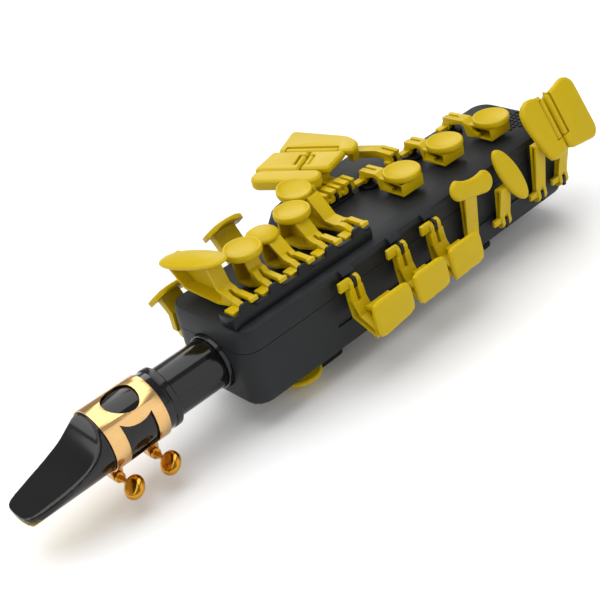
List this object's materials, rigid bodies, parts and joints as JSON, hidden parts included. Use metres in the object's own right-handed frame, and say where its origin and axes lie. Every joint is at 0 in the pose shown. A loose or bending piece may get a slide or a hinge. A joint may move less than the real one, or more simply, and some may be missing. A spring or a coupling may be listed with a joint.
{
  "type": "digital wind controller",
  "caption": "Hand-held electronic wind instrument with saxophone mouthpiece, flat housing and sprung yellow lever keys.",
  "frame": {"origin": "centre of the flat under the thumb hook, on which the instrument rests", "axes": "+X along the housing from the mouthpiece towards the far end, +Y towards the left-hand palm keys, +Z out of the key side"},
  "size_m": [0.312, 0.1108, 0.073],
  "materials": {
    "charcoal": "fine matt texture, dark charcoal",
    "black": "satin black",
    "yellow": "satin moulded yellow",
    "ebonite": "polished black hard rubber",
    "cane": "smooth cane",
    "gilt": "polished pale gilt",
    "gilt_deep": "polished deep gilt",
    "steel": "plain steel",
    "board": "solder mask",
    "foil": "foil pouch",
    "silicone": "translucent silicone"
  },
  "bodies": {
    "housing": {"upper_shell": "charcoal", "lower_shell": "charcoal", "socket_collar": "ebonite", "mouthpiece": "ebonite", "reed": "cane", "ligature": "gilt", "breath_tube": "silicone", "breath_sensor": "black", "main_board": "board", "battery": "foil", "speaker": "black", "housing_screw_1": "steel", "housing_screw_2": "steel", "housing_screw_3": "steel", "housing_screw_4": "steel", "thumb_rest": "black", "thumb_hook": "black", "strap_ring": "steel", "left_rail": "black", "post_f": "black", "post_e": "black", "post_d": "black", "table_hinge_front": "black", "table_hinge_rear": "black"},
    "key_front_f": {"key_front_f": "yellow"},
    "key_b": {"key_b": "yellow"},
    "key_bis": {"key_bis": "yellow"},
    "key_a": {"key_a": "yellow"},
    "key_g": {"key_g": "yellow"},
    "key_f": {"key_f": "yellow"},
    "key_e": {"key_e": "yellow"},
    "key_d": {"key_d": "yellow"},
    "key_side_e": {"key_side_e": "yellow"},
    "key_side_c": {"key_side_c": "yellow"},
    "key_side_b_flat": {"key_side_b_flat": "yellow"},
    "key_high_f_sharp": {"key_high_f_sharp": "yellow"},
    "key_alternate_f_sharp": {"key_alternate_f_sharp": "yellow"},
    "key_low_e_flat": {"key_low_e_flat": "yellow"},
    "key_low_c": {"key_low_c": "yellow"},
    "key_g_sharp": {"key_g_sharp": "yellow"},
    "key_c_sharp": {"key_c_sharp": "yellow"},
    "key_low_b": {"key_low_b": "yellow"},
    "key_low_b_flat": {"key_low_b_flat": "yellow"},
    "key_palm_f": {"key_palm_f": "yellow"},
    "key_palm_e_flat": {"key_palm_e_flat": "yellow"},
    "key_palm_d": {"key_palm_d": "yellow"},
    "key_octave": {"key_octave": "yellow"},
    "roller_c_sharp": {"roller_c_sharp": "yellow"},
    "roller_low_b": {"roller_low_b": "yellow"},
    "roller_low_b_flat": {"roller_low_b_flat": "yellow"},
    "roller_low_e_flat": {"roller_low_e_flat": "yellow"},
    "roller_low_c": {"roller_low_c": "yellow"},
    "ligature_screw_rear": {"ligature_screw_rear": "gilt_deep"},
    "ligature_screw_front": {"ligature_screw_front": "gilt_deep"},
    "power_button": {"power_button": "black"}
  },
  "joints": [
    {"name": "front_f_press", "type": "hinge", "parent": "housing", "child": "key_front_f", "pos_m": [-0.1424, -0.0145, 0.0528], "axis": [-1, 0, 0], "range_deg": [0, 3], "stiffness_Nm_per_rad": 0.05, "springref_deg": -8.59},
    {"name": "b_press", "type": "hinge", "parent": "housing", "child": "key_b", "pos_m": [-0.1268, -0.0145, 0.0528], "axis": [-1, 0, 0], "range_deg": [0, 3.2], "stiffness_Nm_per_rad": 0.05, "springref_deg": -8.59},
    {"name": "bis_press", "type": "hinge", "parent": "housing", "child": "key_bis", "pos_m": [-0.1112, -0.0145, 0.0528], "axis": [-1, 0, 0], "range_deg": [0, 3.2], "stiffness_Nm_per_rad": 0.05, "springref_deg": -8.59},
    {"name": "a_press", "type": "hinge", "parent": "housing", "child": "key_a", "pos_m": [-0.0956, -0.0145, 0.0528], "axis": [-1, 0, 0], "range_deg": [0, 2.8], "stiffness_Nm_per_rad": 0.05, "springref_deg": -8.59},
    {"name": "g_press", "type": "hinge", "parent": "housing", "child": "key_g", "pos_m": [-0.08, -0.0145, 0.0528], "axis": [-1, 0, 0], "range_deg": [0, 2.8], "stiffness_Nm_per_rad": 0.05, "springref_deg": -8.59},
    {"name": "f_press", "type": "hinge", "parent": "housing", "child": "key_f", "pos_m": [-0.0382, 0.0145, 0.0534], "axis": [1, 0, 0], "range_deg": [0, 3], "stiffness_Nm_per_rad": 0.05, "springref_deg": -8.59},
    {"name": "e_press", "type": "hinge", "parent": "housing", "child": "key_e", "pos_m": [-0.0084, 0.0145, 0.0534], "axis": [1, 0, 0], "range_deg": [0, 3.2], "stiffness_Nm_per_rad": 0.05, "springref_deg": -8.59},
    {"name": "d_press", "type": "hinge", "parent": "housing", "child": "key_d", "pos_m": [0.0186, 0.0145, 0.0534], "axis": [1, 0, 0], "range_deg": [0, 2.9], "stiffness_Nm_per_rad": 0.05, "springref_deg": -8.59},
    {"name": "side_e_press", "type": "hinge", "parent": "housing", "child": "key_side_e", "pos_m": [-0.0931, -0.0271, 0.043], "axis": [1, 0, 0], "range_deg": [0, 5], "stiffness_Nm_per_rad": 0.05, "springref_deg": -8.59},
    {"name": "side_c_press", "type": "hinge", "parent": "housing", "child": "key_side_c", "pos_m": [-0.0646, -0.0271, 0.043], "axis": [1, 0, 0], "range_deg": [0, 5], "stiffness_Nm_per_rad": 0.05, "springref_deg": -8.59},
    {"name": "side_b_flat_press", "type": "hinge", "parent": "housing", "child": "key_side_b_flat", "pos_m": [-0.0434, -0.0271, 0.043], "axis": [1, 0, 0], "range_deg": [0, 5], "stiffness_Nm_per_rad": 0.05, "springref_deg": -8.59},
    {"name": "high_f_sharp_press", "type": "hinge", "parent": "housing", "child": "key_high_f_sharp", "pos_m": [-0.0206, -0.0271, 0.0204], "axis": [-1, 0, 0], "range_deg": [0, 3], "stiffness_Nm_per_rad": 0.05, "springref_deg": -8.59},
    {"name": "alternate_f_sharp_press", "type": "hinge", "parent": "housing", "child": "key_alternate_f_sharp", "pos_m": [0.0016, -0.0271, 0.0204], "axis": [-1, 0, 0], "range_deg": [0, 3], "stiffness_Nm_per_rad": 0.05, "springref_deg": -8.59},
    {"name": "low_e_flat_press", "type": "hinge", "parent": "housing", "child": "key_low_e_flat", "pos_m": [0.028, -0.0271, 0.0204], "axis": [-1, 0, 0], "range_deg": [0, 3.5], "stiffness_Nm_per_rad": 0.05, "springref_deg": -8.59},
    {"name": "low_c_press", "type": "hinge", "parent": "housing", "child": "key_low_c", "pos_m": [0.0444, -0.0271, 0.0204], "axis": [-1, 0, 0], "range_deg": [0, 3.5], "stiffness_Nm_per_rad": 0.05, "springref_deg": -8.59},
    {"name": "g_sharp_press", "type": "hinge", "parent": "housing", "child": "key_g_sharp", "pos_m": [-0.0662, 0.016, 0.0534], "axis": [-1, 0, 0], "range_deg": [0, 3.5], "stiffness_Nm_per_rad": 0.05, "springref_deg": -8.59},
    {"name": "c_sharp_press", "type": "hinge", "parent": "housing", "child": "key_c_sharp", "pos_m": [-0.058, 0.016, 0.0534], "axis": [-1, 0, 0], "range_deg": [0, 3], "stiffness_Nm_per_rad": 0.05, "springref_deg": -8.59},
    {"name": "low_b_press", "type": "hinge", "parent": "housing", "child": "key_low_b", "pos_m": [-0.0498, 0.016, 0.0534], "axis": [-1, 0, 0], "range_deg": [0, 3], "stiffness_Nm_per_rad": 0.05, "springref_deg": -8.59},
    {"name": "low_b_flat_press", "type": "hinge", "parent": "housing", "child": "key_low_b_flat", "pos_m": [-0.02, 0.016, 0.0534], "axis": [-1, 0, 0], "range_deg": [0, 3], "stiffness_Nm_per_rad": 0.05, "springref_deg": -8.59},
    {"name": "palm_f_press", "type": "hinge", "parent": "housing", "child": "key_palm_f", "pos_m": [-0.1424, 0.0271, 0.029], "axis": [1, 0, 0], "range_deg": [0, 4], "stiffness_Nm_per_rad": 0.05, "springref_deg": -8.59},
    {"name": "palm_e_flat_press", "type": "hinge", "parent": "housing", "child": "key_palm_e_flat", "pos_m": [-0.1246, 0.0271, 0.029], "axis": [1, 0, 0], "range_deg": [0, 4], "stiffness_Nm_per_rad": 0.05, "springref_deg": -8.59},
    {"name": "palm_d_press", "type": "hinge", "parent": "housing", "child": "key_palm_d", "pos_m": [-0.1046, 0.0271, 0.029], "axis": [1, 0, 0], "range_deg": [0, 4], "stiffness_Nm_per_rad": 0.05, "springref_deg": -8.59},
    {"name": "octave_press", "type": "hinge", "parent": "housing", "child": "key_octave", "pos_m": [-0.118, 0.01, 0.0086], "axis": [-1, 0, 0], "range_deg": [0, 4], "stiffness_Nm_per_rad": 0.05, "springref_deg": -8.59},
    {"name": "roller_c_sharp_spin", "type": "hinge", "parent": "key_c_sharp", "child": "roller_c_sharp", "pos_m": [-0.05258, 0.04113, 0.06132], "axis": [0.891, 0.454, 0], "continuous": true},
    {"name": "roller_low_b_spin", "type": "hinge", "parent": "key_low_b", "child": "roller_low_b", "pos_m": [-0.05076, 0.03757, 0.06132], "axis": [0.891, 0.454, 0], "continuous": true},
    {"name": "roller_low_b_flat_spin", "type": "hinge", "parent": "key_low_b_flat", "child": "roller_low_b_flat", "pos_m": [-0.04212, 0.04427, 0.06132], "axis": [0.454, -0.891, 0], "continuous": true},
    {"name": "roller_low_e_flat_spin", "type": "hinge", "parent": "key_low_e_flat", "child": "roller_low_e_flat", "pos_m": [0.03798, -0.02867, 0.05515], "axis": [-0.0785, 0.386, 0.9191], "continuous": true},
    {"name": "roller_low_c_spin", "type": "hinge", "parent": "key_low_c", "child": "roller_low_c", "pos_m": [0.04257, -0.02853, 0.05548], "axis": [-0.0785, 0.386, 0.9191], "continuous": true},
    {"name": "ligature_screw_rear_turn", "type": "hinge", "parent": "housing", "child": "ligature_screw_rear", "pos_m": [-0.1905, 0, 0.0112], "axis": [0, 1, 0], "continuous": true},
    {"name": "ligature_screw_front_turn", "type": "hinge", "parent": "housing", "child": "ligature_screw_front", "pos_m": [-0.2081, 0, 0.012], "axis": [0, 1, 0], "continuous": true},
    {"name": "power_slide", "type": "slide", "parent": "housing", "child": "power_button", "axis": [0, 1, 0], "range_m": [0, 0.003]}
  ]
}
